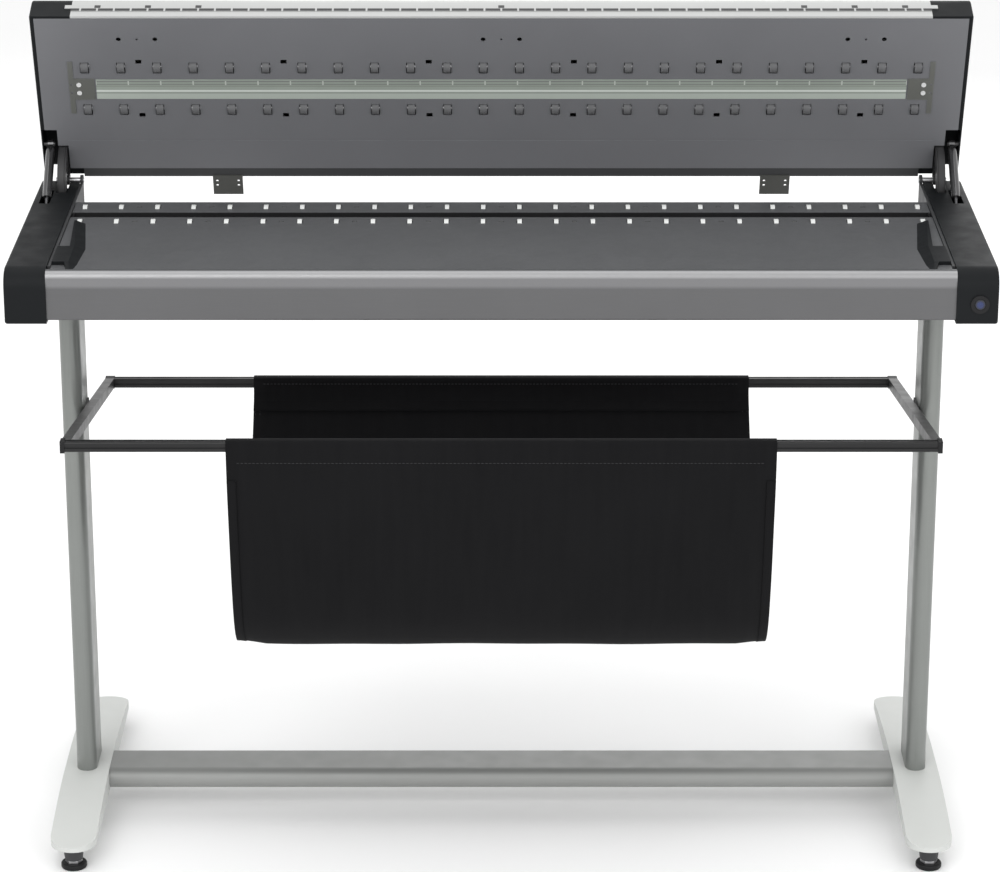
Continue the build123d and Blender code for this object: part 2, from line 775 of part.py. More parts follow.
with BuildPart() as power_inlet:
    inlet_body_x = (inlet_x - inlet_size[0] / 2 + 0.1, inlet_x + inlet_size[0] / 2 - 0.1)
    inlet_body_z = (io_mid_z - inlet_size[1] / 2 + 0.1, io_mid_z + inlet_size[1] / 2 - 0.1)
    block(inlet_body_x, (io_y - 16.0, io_y + sheet), inlet_body_z)
    rim_z = (io_mid_z - 13.5, io_mid_z + 13.5)
    block((inlet_x - 24.0, inlet_x + 24.0), (io_y + sheet, io_y + 2 * sheet), rim_z)
    pocket_x = (inlet_x - 11.5, inlet_x + 11.5)
    pocket_z = (io_mid_z - 7.8, io_mid_z + 7.8)
    block(pocket_x, (io_y - 11.0, io_y + 2 * sheet), pocket_z, mode=Mode.SUBTRACT)
    for x, z in ((-7.0, -2.0), (0.0, 3.0), (7.0, -2.0)):
        pin_x = (inlet_x + x - 1.0, inlet_x + x + 1.0)
        block(pin_x, (io_y - 12.0, io_y - 1.0), (io_mid_z + z - 2.0, io_mid_z + z + 2.0))
power_inlet.part.label = "power_inlet"
export_step(power_inlet.part, "parts/power_inlet.step")

bezel_depth = 20.0
bezel_front_y = cap_front_y - 2.0

with BuildPart() as button_bezel:
    bezel_plane = Plane.XZ.offset(-bezel_front_y)
    with BuildSketch(bezel_plane):
        with Locations((button_x, button_z)):
            Circle(bezel_radius)
    extrude(amount=-(cap_front_y - bezel_front_y))
    with BuildSketch(bezel_plane):
        with Locations((button_x, button_z)):
            Circle(bezel_barrel)
    extrude(amount=-bezel_depth)
    with BuildSketch(bezel_plane):
        with Locations((button_x, button_z)):
            Circle(button_radius + 0.3)
    extrude(amount=-bezel_depth, mode=Mode.SUBTRACT)
button_bezel.part.label = "button_bezel"
export_step(button_bezel.part, "parts/button_bezel.step")

with BuildPart() as power_button:
    with BuildSketch(Plane.XZ.offset(-(bezel_front_y - 0.6))):
        with Locations((button_x, button_z)):
            Circle(button_radius)
    extrude(amount=-14.0)
    front_rim = power_button.faces().sort_by(Axis.Y)[0].edges()
    fillet(front_rim, radius=1.0)
power_button.part.label = "power_button"
export_step(power_button.part, "parts/power_button.step")

# ----------------------------------------------------------------------------
# Lid, shut down onto its underside at w = 3 and turned about the hinge axis
# ----------------------------------------------------------------------------
rail_v = (-19.4, lid_rear_v)
rail_top_w = 18.0
skin = 3.0
hinge_pocket_v = -59.5
strut_pocket_x = (631.6, 653.0)
strut_pocket_v = -87.0
ear_clearance = 9.5


def lid_outline():
    """Outer end view of the lid, in v and w."""
    with BuildSketch() as outline:
        with BuildLine():
            FilletPolyline(
                (lid_front_v, lid_under_w),
                (lid_front_v + 4.0, 50.0),
                (-232.0, lid_top_w),
                (-48.0, lid_top_w),
                (lid_rear_v, 58.0),
                (lid_rear_v, lid_under_w),
                radius=[22.0, 34.0, 40.0, 26.0],
            )
            Line((lid_rear_v, lid_under_w), (lid_front_v, lid_under_w))
        make_face()
    return outline.sketch


def on_side_plane(sketch, x):
    """A v, w sketch carried to the lid's side plane at a place across."""
    return lid_side.offset(x).location * sketch


with BuildPart() as lid_cover:
    extrude(on_side_plane(lid_outline(), -lid_cap_x), amount=2 * lid_cap_x)
    with BuildSketch() as hollow:
        add(lid_outline())
        offset(amount=-skin, kind=Kind.INTERSECTION, mode=Mode.REPLACE)
    cut = on_side_plane(hollow.sketch, -lid_cap_x - 1.0)
    extrude(cut, amount=2 * lid_cap_x + 2.0, mode=Mode.SUBTRACT)
    with BuildSketch(lid_side.offset(-lid_cap_x - 1.0)):
        with Locations(((lid_front_v + 3.4 + lid_rear_v) / 2, 0.0)):
            Rectangle(lid_rear_v - lid_front_v - 3.4, 2 * (lid_under_w + 6.0))
        with Locations((-12.0, 0.0)):
            Rectangle(24.0, 2 * rail_top_w)
    extrude(amount=2 * lid_cap_x + 2.0, mode=Mode.SUBTRACT)
lid_cover.part.label = "lid_cover"
export_step(lid_cover.part, "parts/lid_cover.step")

with BuildPart(lid_floor) as lid_rear_rail:
    rail_half = lid_cap_x
    block((-rail_half, rail_half), rail_v, (lid_under_w, rail_top_w))
    inner_v = (rail_v[0] + 2.0, rail_v[1] - 2.0)
    block(
        (-rail_half - 1.0, rail_half + 1.0),
        inner_v,
        (lid_under_w + 2.0, rail_top_w - 2.0),
        mode=Mode.SUBTRACT,
    )
lid_rear_rail.part.label = "lid_rear_rail"
export_step(lid_rear_rail.part, "parts/lid_rear_rail.step")

panel_front_v = lid_front_v + 4.0
panel_rear_v = rail_v[0] - 0.2
panel_half = 649.0
hanger_reach = 600.0
panel_top_w = lid_under_w + panel_thick

for hand, side in sides.items():
    with BuildPart(lid_floor) as lid_cap:
        cap_x = (side * (lid_cap_x + 0.2), side * lid_half)
        profile = on_side_plane(lid_outline(), cap_x[0])
        extrude(profile, amount=side * (lid_half - lid_cap_x - 0.2))
        end_face = lid_cap.faces().sort_by(Axis.X)[-1 if side > 0 else 0]
        fillet(end_face.edges(), radius=2.5)
        hollow_x = (side * (lid_cap_x - 1.0), side * (lid_half - skin))
        block(hollow_x, (-226.0, -94.0), (panel_top_w + 2.0, 78.0), mode=Mode.SUBTRACT)
        hanger_room_x = (side * (lid_cap_x - 1.0), side * (hanger_reach + 3.5))
        block(hanger_room_x, (-226.0, -94.0), (0.0, 20.0), mode=Mode.SUBTRACT)
        seat_x = (side * lid_cap_x, side * (panel_half + 0.2))
        seat_v = (panel_front_v - 0.2, rail_v[0])
        block(seat_x, seat_v, (0.0, panel_top_w), mode=Mode.SUBTRACT)
        pocket_x = (side * lid_cap_x, side * hinge_pocket_x[1])
        block(pocket_x, (hinge_pocket_v, 0.0), (0.0, 9.1), mode=Mode.SUBTRACT)
        strut_x_span = (side * strut_pocket_x[0], side * strut_pocket_x[1])
        block(strut_x_span, (strut_pocket_v, 0.0), (0.0, 31.0), mode=Mode.SUBTRACT)
        ear_x = (side * lid_cap_x, side * 640.0)
        round_x(ear_x, 0.0, 0.0, ear_clearance, mode=Mode.SUBTRACT)
    lid_cap.part.label = f"lid_cap_{hand}"
    export_step(lid_cap.part, f"parts/lid_cap_{hand}.step")

slot_reaches = (-113.6, -205.7)
slot_size = (8.5, 7.0)
access_hole_radius = 3.4
vent_hole_radius = 1.6
slot_x = spread(6, 4 * roller_pitch)
dot_reach = -244.0
dot_x = [m + d for m in spread(3, 10 * roller_pitch) for d in (-25.4, 25.4)]
hanger_x = [-hanger_reach] + spread(5, 4 * roller_pitch) + [hanger_reach]
row_reaches = (-front_row_reach, -rear_row_reach)
step_v = -69.0
step_drop = 0.6

with BuildPart(lid_floor) as lid_panel:
    span = (-panel_half, panel_half)
    block(span, (panel_front_v, panel_rear_v), (lid_under_w, panel_top_w))
    step_half = hinge_pocket_x[0] - 0.5
    block((-step_half, step_half), (step_v, panel_rear_v), (lid_under_w - step_drop, lid_under_w))
    for x in hanger_x:
        for v in row_reaches:
            block((x - 1.0, x + 1.0), (v - 6.0, v + 6.0), (panel_top_w, 13.0))
            round_x((x - 1.0, x + 1.0), v, idler_w, idler_shaft_radius, mode=Mode.SUBTRACT)
    with BuildSketch(lid_floor.offset(0.0)):
        with Locations(*[(x, v) for x in roller_x for v in row_reaches]):
            RectangleRounded(window_width, window_length, 1.2)
        with Locations(*[(x, v) for x in slot_x for v in slot_reaches]):
            Rectangle(*slot_size)
        with Locations(*[(x, dot_reach) for x in dot_x]):
            Circle(access_hole_radius)
        with Locations(*[(x, dot_reach) for x in spread(3, 10 * roller_pitch)]):
            Circle(vent_hole_radius)
        with Locations((0.0, (glass_near_v + glass_far_v) / 2)):
            Rectangle(2 * glass_half + 0.4, glass_near_v - glass_far_v + 0.4)
    extrude(amount=panel_top_w, mode=Mode.SUBTRACT)
    for side in sides.values():
        notch_x = (side * (hinge_pocket_x[0] - 0.4), side * hinge_pocket_x[1])
        block(notch_x, (hinge_pocket_v, 0.0), (0.0, 6.0), mode=Mode.SUBTRACT)
        notch_x = (side * strut_pocket_x[0], side * (panel_half + 1.0))
        block(notch_x, (strut_pocket_v, 0.0), (0.0, 6.0), mode=Mode.SUBTRACT)
lid_panel.part.label = "lid_panel"
export_step(lid_panel.part, "parts/lid_panel.step")

strip_bands = {"scale": (lid_cap_x, (16.2, 23.2)), "lip": (607.0, (23.2, 31.8))}
strip_thick = 1.2
front_lean = 4.0 / 47.0  # how far the front face leans back for each unit of w

with BuildPart() as ruler_strip:
    for strip_half, strip_w in strip_bands.values():
        with BuildSketch(lid_side.offset(-strip_half)):
            with BuildLine():
                low_v = lid_front_v + front_lean * (strip_w[0] - lid_under_w)
                high_v = lid_front_v + front_lean * (strip_w[1] - lid_under_w)
                Polyline(
                    (low_v, strip_w[0]),
                    (low_v - strip_thick, strip_w[0]),
                    (high_v - strip_thick, strip_w[1]),
                    (high_v, strip_w[1]),
                    close=True,
                )
            make_face()
        extrude(amount=2 * strip_half)
ruler_strip.part.label = "ruler_strip"
export_step(ruler_strip.part, "parts/ruler_strip.step")

with BuildPart(lid_floor) as scan_glass:
    block(
        (-glass_half, glass_half),
        (glass_far_v, glass_near_v),
        (lid_under_w - 0.4, lid_under_w + 3.6),
    )
scan_glass.part.label = "scan_glass"
export_step(scan_glass.part, "parts/scan_glass.step")

with BuildPart(lid_floor) as sensor_bar:
    bar_v = (glass_far_v - 4.0, glass_near_v + 4.0)
    bar_w = (lid_under_w + 3.8, 62.0)
    block((-glass_half - 6.0, glass_half + 6.0), bar_v, bar_w)
    light_gap_v = (glass_far_v + 8.0, glass_near_v - 8.0)
    gap_w = (bar_w[0], bar_w[1] - skin)
    block((-glass_half + 6.0, glass_half - 6.0), light_gap_v, gap_w, mode=Mode.SUBTRACT)
sensor_bar.part.label = "sensor_bar"
export_step(sensor_bar.part, "parts/sensor_bar.step")

retainer_w = (lid_under_w - 1.0, lid_under_w)
end_screw_v = (-153.0, -167.0)
end_screw_x = 594.0
retainer_hole_x = 604.5
retainer_hole_radius = 1.8
end_screw_clearance = 1.6

with BuildPart(lid_floor) as glass_retainers:
    for side in sides.values():
        tongue_x = (side * (glass_half + 2.0), side * 603.0)
        block(tongue_x, (-177.0, -141.0), retainer_w)
        strip_x = (side * 601.0, side * 608.0)
        block(strip_x, (-206.0, -117.0), retainer_w)
        for v in end_screw_v:
            hole_w = (0.0, 8.0)
            round_z(side * end_screw_x, v, hole_w, end_screw_clearance, mode=Mode.SUBTRACT)
            round_z(side * retainer_hole_x, v, hole_w, retainer_hole_radius, mode=Mode.SUBTRACT)
glass_retainers.part.label = "glass_retainers"
export_step(glass_retainers.part, "parts/glass_retainers.step")

idler_shaft_x = (-602.0, 602.0)

with BuildPart(lid_floor) as idler_shafts:
    for v in row_reaches:
        round_x(idler_shaft_x, v, idler_w, idler_shaft_radius)
idler_shafts.part.label = "idler_shafts"
export_step(idler_shafts.part, "parts/idler_shafts.step")

for end, v in zip(("front", "rear"), row_reaches):
    with BuildPart(lid_floor) as idler_rollers:
        with Locations(*[(x, v, idler_w) for x in roller_x]):
            Cylinder(idler_radius, idler_width, rotation=(0, 90, 0))
        bore = idler_shaft_radius + running_gap
        round_x(idler_shaft_x, v, idler_w, bore, mode=Mode.SUBTRACT)
    idler_rollers.part.label = f"idler_rollers_{end}"
    export_step(idler_rollers.part, f"parts/idler_rollers_{end}.step")

sector_end_angle = 78.0  # how far round the hinge arm's sector runs, from level
arm_bolt_v = (-30.0, -16.0)
arm_hub_radius = 7.0
arm_rib_width = 7.0
arm_rib_height = 2.0
arm_top_w = 9.0

with BuildPart() as hinge_arms:
    for side in sides.values():
        near_x = side * arm_mid_x - arm_thick / 2
        with BuildSketch(lid_side.offset(near_x)):
            with BuildLine():
                low = math.radians(180.0 + sector_end_angle)
                mid = math.radians(180.0 + sector_end_angle / 2)
                outer_end = (sector_outer * math.cos(low), sector_outer * math.sin(low))
                outer_mid = (sector_outer * math.cos(mid), sector_outer * math.sin(mid))
                inner_end = (sector_inner * math.cos(low), sector_inner * math.sin(low))
                inner_mid = (sector_inner * math.cos(mid), sector_inner * math.sin(mid))
                ThreePointArc((-sector_outer, 0.0), outer_mid, outer_end)
                Line(outer_end, inner_end)
                ThreePointArc(inner_end, inner_mid, (-sector_inner, 0.0))
                Polyline(
                    (-sector_inner, 0.0),
                    (-sector_inner, lid_under_w),
                    (0.0, lid_under_w),
                    (0.0, arm_top_w),
                    (-sector_outer, arm_top_w),
                    (-sector_outer, 0.0),
                )
            make_face()
            Circle(arm_hub_radius)
            Circle(pin_radius + running_gap, mode=Mode.SUBTRACT)
        extrude(amount=arm_thick)
        with BuildSketch(lid_side.offset(side * arm_mid_x - arm_rib_width / 2)):
            with BuildLine():
                rib = sector_outer + arm_rib_height
                rib_end = (rib * math.cos(low), rib * math.sin(low))
                rib_mid = (rib * math.cos(mid), rib * math.sin(mid))
                ThreePointArc((-rib, 0.0), rib_mid, rib_end)
                Line(rib_end, outer_end)
                ThreePointArc(outer_end, outer_mid, (-sector_outer, 0.0))
                Line((-sector_outer, 0.0), (-rib, 0.0))
            make_face()
        extrude(amount=arm_rib_width)
hinge_arms.part.label = "hinge_arms"
export_step(hinge_arms.part, "parts/hinge_arms.step")

guide_tab_x = 392.6
guide_tab_width = 42.7
guide_tab_v = (-7.3, 26.0)
guide_hole_v = (2.0, 10.0)
guide_hole_x = 15.3
guide_hole_radius = 2.0

with BuildPart(lid_floor) as return_guides:
    for side in sides.values():
        mid_x = side * guide_tab_x
        tab_x = (mid_x - guide_tab_width / 2, mid_x + guide_tab_width / 2)
        block(tab_x, guide_tab_v, (lid_under_w - 2.2, lid_under_w))
        block(tab_x, (lid_rear_v, lid_rear_v + 2.0), (lid_under_w, rail_top_w - 1.0))
        for dx in (-guide_hole_x, guide_hole_x):
            for v in guide_hole_v:
                round_z(mid_x + dx, v, (0.0, 4.0), guide_hole_radius, mode=Mode.SUBTRACT)
return_guides.part.label = "return_guides"
export_step(return_guides.part, "parts/return_guides.step")

with BuildPart(lid_floor) as lid_fasteners:
    for side in sides.values():
        for v in end_screw_v:
            round_z(side * end_screw_x, v, (retainer_w[0] - 1.4, retainer_w[0]), 3.4)
            round_z(side * end_screw_x, v, retainer_w, 1.5)
        for v in arm_bolt_v:
            round_z(side * arm_mid_x, v, (0.2, lid_under_w), 4.0)
        stud_x = (side * (strut_x - 6.0), side * strut_pocket_x[1])
        round_x(stud_x, strut_lid_v, strut_lid_w, rod_radius)
lid_fasteners.part.label = "lid_fasteners"
export_step(lid_fasteners.part, "parts/lid_fasteners.step")

# ----------------------------------------------------------------------------
# Gas struts, drawn along their own axis from the lid pivot to the base pivot
# ----------------------------------------------------------------------------
strut_top = lid_floor.from_local_coords(Vector(0, strut_lid_v, strut_lid_w))
strut_base = Vector(0, strut_base_y, strut_base_z)
strut_line = strut_base - strut_top
strut_length = strut_line.length
strut_body_end = 94.0
gland_length = 8.0
rod_inner_end = strut_body_end - gland_length - 8.0
eye_radius = 6.5
neck_size = 8.0
bore_start = 12.0
piston_length = 6.0

with BuildPart() as strut_cylinders:
    for side in sides.values():
        foot = Vector(side * strut_x, strut_top.Y, strut_top.Z)
        axis_plane = Plane(origin=foot, x_dir=(1, 0, 0), z_dir=strut_line)
        with BuildSketch(axis_plane.offset(neck_size)):
            Circle(strut_radius)
        extrude(amount=strut_body_end - neck_size)
        with BuildSketch(axis_plane):
            Rectangle(neck_size, neck_size)
        extrude(amount=neck_size + 1.0)
        eye_x = (side * (strut_x - strut_eye_half), side * (strut_x + strut_eye_half))
        round_x(eye_x, strut_top.Y, strut_top.Z, eye_radius)
        stud_bore = rod_radius + running_gap
        round_x(eye_x, strut_top.Y, strut_top.Z, stud_bore, mode=Mode.SUBTRACT)
        with BuildSketch(axis_plane.offset(bore_start)):
            Circle(strut_bore)
        extrude(amount=strut_body_end - gland_length - bore_start, mode=Mode.SUBTRACT)
        with BuildSketch(axis_plane.offset(strut_body_end - gland_length)):
            Circle(rod_radius + running_gap)
        extrude(amount=gland_length, mode=Mode.SUBTRACT)
strut_cylinders.part.label = "strut_cylinders"
export_step(strut_cylinders.part, "parts/strut_cylinders.step")

with BuildPart() as strut_rods:
    for side in sides.values():
        foot = Vector(side * strut_x, strut_top.Y, strut_top.Z)
        axis_plane = Plane(origin=foot, x_dir=(1, 0, 0), z_dir=strut_line)
        with BuildSketch(axis_plane.offset(rod_inner_end)):
            Circle(rod_radius)
        extrude(amount=strut_length - rod_inner_end)
        with BuildSketch(axis_plane.offset(rod_inner_end)):
            Circle(strut_bore - running_gap)
        extrude(amount=piston_length)
        eye_x = (side * (strut_x - strut_eye_half), side * (strut_x + strut_eye_half))
        round_x(eye_x, strut_base_y, strut_base_z, eye_radius)
strut_rods.part.label = "strut_rods"
export_step(strut_rods.part, "parts/strut_rods.step")
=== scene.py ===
import json
import math

import bmesh
import bpy
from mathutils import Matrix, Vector


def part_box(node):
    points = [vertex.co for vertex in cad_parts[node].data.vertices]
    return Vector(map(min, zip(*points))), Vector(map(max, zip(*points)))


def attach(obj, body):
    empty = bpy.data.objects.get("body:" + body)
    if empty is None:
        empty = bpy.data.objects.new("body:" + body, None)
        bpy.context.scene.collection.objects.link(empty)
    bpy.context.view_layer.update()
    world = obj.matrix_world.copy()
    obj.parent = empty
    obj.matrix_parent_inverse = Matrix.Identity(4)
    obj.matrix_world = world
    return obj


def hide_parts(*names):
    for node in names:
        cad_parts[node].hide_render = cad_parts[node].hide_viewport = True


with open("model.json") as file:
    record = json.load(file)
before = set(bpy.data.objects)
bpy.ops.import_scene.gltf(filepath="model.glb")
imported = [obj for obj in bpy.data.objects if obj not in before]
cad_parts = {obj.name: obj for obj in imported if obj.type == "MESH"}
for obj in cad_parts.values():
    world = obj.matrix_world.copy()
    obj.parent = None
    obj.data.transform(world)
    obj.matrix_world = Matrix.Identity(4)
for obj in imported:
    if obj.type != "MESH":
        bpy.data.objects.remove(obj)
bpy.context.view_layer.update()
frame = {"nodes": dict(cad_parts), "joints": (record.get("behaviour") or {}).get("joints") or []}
MM = 0.001
OPEN_ANGLE = math.radians(68.0)  # how far the lid stands open at rest

# ---------------------------------------------------------------------------
# Camera, light and floor
# ---------------------------------------------------------------------------
scene = bpy.context.scene
camera = bpy.data.objects.new("camera", bpy.data.cameras.new("camera"))
scene.collection.objects.link(camera)
camera.location = (0.0, -4.864, 2.290)
camera.rotation_euler = (math.radians(70.5), 0.0, 0.0)
camera.data.lens = 132.6
camera.data.sensor_width = 36.0
camera.data.shift_x = -0.0013
camera.data.clip_end = 60.0
scene.camera = camera
scene.view_settings.view_transform = "Standard"
scene.view_settings.look = "None"

LIGHTS = {
    "key": ((-1.4, -3.4, 2.9), (0.0, 0.0, 0.7), 2.6, 58.0),
    "fill": ((2.4, -3.4, 2.0), (0.0, 0.0, 0.6), 2.8, 41.0),
    "top": ((0.0, 0.2, 4.2), (0.0, 0.0, 0.8), 3.6, 40.0),
    "back": ((0.6, 3.6, 2.2), (0.0, 0.0, 0.7), 2.6, 26.0),
}
for name, (place, target, size, energy) in LIGHTS.items():
    lamp = bpy.data.lights.new(name, "AREA")
    lamp.shape = "SQUARE"
    lamp.size = size
    lamp.energy = energy
    holder = bpy.data.objects.new(name, lamp)
    scene.collection.objects.link(holder)
    holder.location = place
    aim = Vector(target) - Vector(place)
    holder.rotation_euler = aim.to_track_quat("-Z", "Y").to_euler()

world = bpy.data.worlds.new("studio")
scene.world = world
world.use_nodes = True
world.node_tree.nodes["Background"].inputs["Color"].default_value = (1.0, 1.0, 1.0, 1.0)
world.node_tree.nodes["Background"].inputs["Strength"].default_value = 1.0


# ---------------------------------------------------------------------------
# Materials
# ---------------------------------------------------------------------------
class Graph:
    """A material's node tree with short calls for adding and linking nodes."""

    def __init__(self, name):
        self.material = bpy.data.materials.new(name)
        self.material.use_nodes = True
        self.tree = self.material.node_tree
        self.shader = self.tree.nodes["Principled BSDF"]
        self.place = self.add("ShaderNodeTexCoord").outputs["Object"]

    def add(self, kind, **values):
        made = self.tree.nodes.new(kind)
        for key, value in values.items():
            setattr(made, key, value)
        return made

    def link(self, source, target):
        self.tree.links.new(source, target)

    def scaled(self, stretch, source=None):
        made = self.add("ShaderNodeMapping")
        made.inputs["Scale"].default_value = stretch
        self.link(source or self.place, made.inputs["Vector"])
        return made.outputs["Vector"]

    def noise(self, scale, detail=3.0, stretch=(1.0, 1.0, 1.0), source=None):
        made = self.add("ShaderNodeTexNoise")
        made.inputs["Scale"].default_value = scale
        made.inputs["Detail"].default_value = detail
        self.link(self.scaled(stretch, source), made.inputs["Vector"])
        return made.outputs["Fac"]

    def remap(self, source, low, high, start=0.3, end=0.7):
        made = self.add("ShaderNodeMapRange")
        made.inputs["From Min"].default_value = start
        made.inputs["From Max"].default_value = end
        made.inputs["To Min"].default_value = low
        made.inputs["To Max"].default_value = high
        self.link(source, made.inputs["Value"])
        return made.outputs["Result"]

    def math(self, operation, first, second=None):
        made = self.add("ShaderNodeMath", operation=operation)
        for socket, value in zip(made.inputs, (first, second)):
            if isinstance(value, (int, float)):
                socket.default_value = value
            elif value is not None:
                self.link(value, socket)
        return made.outputs["Value"]

    def mix(self, factor, first, second):
        made = self.add("ShaderNodeMix", data_type="RGBA")
        for socket, value in zip((made.inputs[0], made.inputs[6], made.inputs[7]), (factor, first, second)):
            if isinstance(value, float):
                socket.default_value = value
            elif isinstance(value, tuple):
                socket.default_value = (*value, 1.0)
            else:
                self.link(value, socket)
        return made.outputs[2]

    def ramp(self, source, stops):
        made = self.add("ShaderNodeValToRGB")
        band = made.color_ramp
        while len(band.elements) < len(stops):
            band.elements.new(0.5)
        for element, (position, color) in zip(band.elements, stops):
            element.position = position
            element.color = (*color, 1.0)
        self.link(source, made.inputs["Fac"])
        return made.outputs["Color"]

    def bump(self, height, depth, strength=0.6):
        made = self.add("ShaderNodeBump")
        made.inputs["Distance"].default_value = depth
        made.inputs["Strength"].default_value = strength
        self.link(height, made.inputs["Height"])
        earlier = self.shader.inputs["Normal"].links
        if earlier:
            self.link(earlier[0].from_socket, made.inputs["Normal"])
        self.link(made.outputs["Normal"], self.shader.inputs["Normal"])

    def edges(self, radius=1.0 * MM):
        """1 along sharp edges and 0 on flat faces."""
        rounded = self.add("ShaderNodeBevel", samples=4)
        rounded.inputs["Radius"].default_value = radius
        flat = self.add("ShaderNodeNewGeometry")
        dot = self.add("ShaderNodeVectorMath", operation="DOT_PRODUCT")
        self.link(rounded.outputs["Normal"], dot.inputs[0])
        self.link(flat.outputs["Normal"], dot.inputs[1])
        return self.remap(dot.outputs["Value"], 1.0, 0.0, 0.80, 0.97)


def shade(color, factor):
    return tuple(min(1.0, channel * factor) for channel in color)


def coating(name, color, rough, metallic=0.0, mottle=0.05, cloud=6.0, grain=1500.0, depth=0.05,
            stretch=(1.0, 1.0, 1.0), wear_and_highlight=0.0, spread=0.05, streaks=0.0, gloss=0.5):
    """Paint, anodising or moulded plastic: soft colour clouds, fine grain, and paler edges that are partly
    worn paint and partly a painted edge highlight.
    """
    g = Graph(name)
    clouds = g.noise(cloud, 4.0)
    tone = g.ramp(clouds, [(0.3, shade(color, 1.0 - mottle)), (0.7, shade(color, 1.0 + mottle))])
    fine = g.noise(grain, 2.0, stretch)
    if streaks:
        bands = g.remap(fine, 0.0, streaks)
        tone = g.mix(bands, tone, shade(color, 1.7))
    if wear_and_highlight:
        # paler edges: partly worn finish, partly a painted highlight along the edges
        worn_and_highlit_edges = g.math("MULTIPLY", g.edges(), g.remap(g.noise(60.0), 0.0, wear_and_highlight))
        tone = g.mix(worn_and_highlit_edges, tone, shade(color, 2.2))
    g.link(tone, g.shader.inputs["Base Color"])
    g.link(g.remap(g.noise(35.0), rough - spread, rough + spread), g.shader.inputs["Roughness"])
    g.shader.inputs["Metallic"].default_value = metallic
    g.shader.inputs["Specular IOR Level"].default_value = gloss
    g.bump(fine, depth * MM)
    return g


CHARCOAL = (0.0075, 0.0085, 0.0095)
BLACK = (0.0085, 0.0085, 0.0092)
LID_GREY = (0.138, 0.140, 0.149)
TABLE_GREY = (0.090, 0.092, 0.096)
PANEL_GREY = (0.107, 0.107, 0.110)
POST_GREY = (0.205, 0.215, 0.205)
FOOT_GREY = (0.540, 0.553, 0.535)
GLASS_FAR = -0.1756  # glass edges, measured along the lid from its hinge
GLASS_NEAR = -0.142
MARK_PITCH = 45.6 * MM
BREAK_PITCH = 23.4 * MM
BLOCK_PITCH = 3 * BREAK_PITCH
HINGE_END_X = 0.612  # beyond this the screws belong to the hinges and struts
BRUSHED_X = (0.02, 1.0, 1.0)
BRUSHED_Z = (1.0, 1.0, 0.02)
BRUSHED_Y = (1.0, 0.02, 1.0)

COATINGS = {
    "charcoal": (CHARCOAL, 0.52, dict(mottle=0.06, grain=1100.0, depth=0.10, wear_and_highlight=0.35, gloss=0.11)),
    "frame_dark": ((0.045, 0.046, 0.048), 0.50, dict(mottle=0.06, grain=1500.0, depth=0.05, wear_and_highlight=0.3,
                                                     gloss=0.2)),
    "black_plastic": (BLACK, 0.50, dict(mottle=0.10, grain=1300.0, depth=0.08, wear_and_highlight=0.3, gloss=0.22)),
    "arm_face": ((0.030, 0.030, 0.031), 0.42, dict(mottle=0.08, grain=1300.0, depth=0.05, wear_and_highlight=0.5,
                                                   gloss=0.3)),
    "black_bar": ((0.006, 0.006, 0.0065), 0.40, dict(mottle=0.05, grain=900.0, depth=0.03, stretch=BRUSHED_X,
                                                    wear_and_highlight=0.9, gloss=0.35)),
    "lid_grey": (LID_GREY, 0.46, dict(mottle=0.04, grain=1600.0, depth=0.03, wear_and_highlight=0.3, gloss=0.35)),
    "table_grey": (TABLE_GREY, 0.38, dict(metallic=0.15, mottle=0.05, grain=700.0, depth=0.02,
                                          stretch=BRUSHED_Y,
                                          streaks=0.05, wear_and_highlight=0.3, gloss=0.35)),
    "tray_grey": ((0.11, 0.11, 0.12), 0.5, dict(metallic=0.2, mottle=0.05, grain=1500.0, depth=0.05,
                                                wear_and_highlight=0.3)),
    "post_grey": (POST_GREY, 0.36, dict(metallic=0.45, mottle=0.03, grain=800.0, depth=0.02,
                                        stretch=BRUSHED_Z,
                                        streaks=0.06, wear_and_highlight=0.2)),
    "foot_paint": (FOOT_GREY, 0.48, dict(mottle=0.03, grain=520.0, depth=0.08, wear_and_highlight=0.2, gloss=0.35)),
    "lid_white": ((0.42, 0.425, 0.42), 0.38, dict(mottle=0.015, grain=1200.0, depth=0.03, gloss=0.4)),
    "retainer": ((0.125, 0.128, 0.118), 0.4, dict(metallic=0.2, mottle=0.05, grain=1500.0, depth=0.04,
                                                  wear_and_highlight=0.6)),
    "bracket": ((0.060, 0.061, 0.056), 0.4, dict(metallic=0.2, mottle=0.05, grain=1500.0, depth=0.04,
                                                 wear_and_highlight=0.6)),
    "steel": ((0.46, 0.46, 0.47), 0.32, dict(metallic=0.9, mottle=0.08, cloud=30.0, grain=900.0, depth=0.02,
                                             stretch=BRUSHED_X, streaks=0.1)),
    "rod": ((0.10, 0.10, 0.105), 0.22, dict(metallic=0.9, mottle=0.05, grain=1500.0, depth=0.005,
                                            spread=0.04)),
    "motor": ((0.22, 0.22, 0.23), 0.38, dict(metallic=0.7, mottle=0.06, grain=900.0, depth=0.03)),
    "belt": ((0.016, 0.016, 0.016), 0.75, dict(mottle=0.1, grain=900.0, depth=0.08)),
    "board": ((0.02, 0.12, 0.05), 0.35, dict(mottle=0.12, cloud=40.0, grain=500.0, depth=0.05)),
    "roller_white": ((0.62, 0.63, 0.62), 0.55, dict(mottle=0.05, cloud=60.0, grain=1400.0, depth=0.06,
                                                    gloss=0.3)),
    "roller_grey": ((0.105, 0.106, 0.110), 0.6, dict(mottle=0.06, cloud=60.0, grain=1400.0, depth=0.06,
                                                     gloss=0.3)),
    "thread": ((0.030, 0.030, 0.032), 0.7, dict(mottle=0.15, cloud=300.0, grain=2500.0, depth=0.05,
                                                gloss=0.2)),
    "floor": ((0.90, 0.90, 0.90), 0.8, dict(mottle=0.006, cloud=2.0, grain=300.0, depth=0.02)),
}
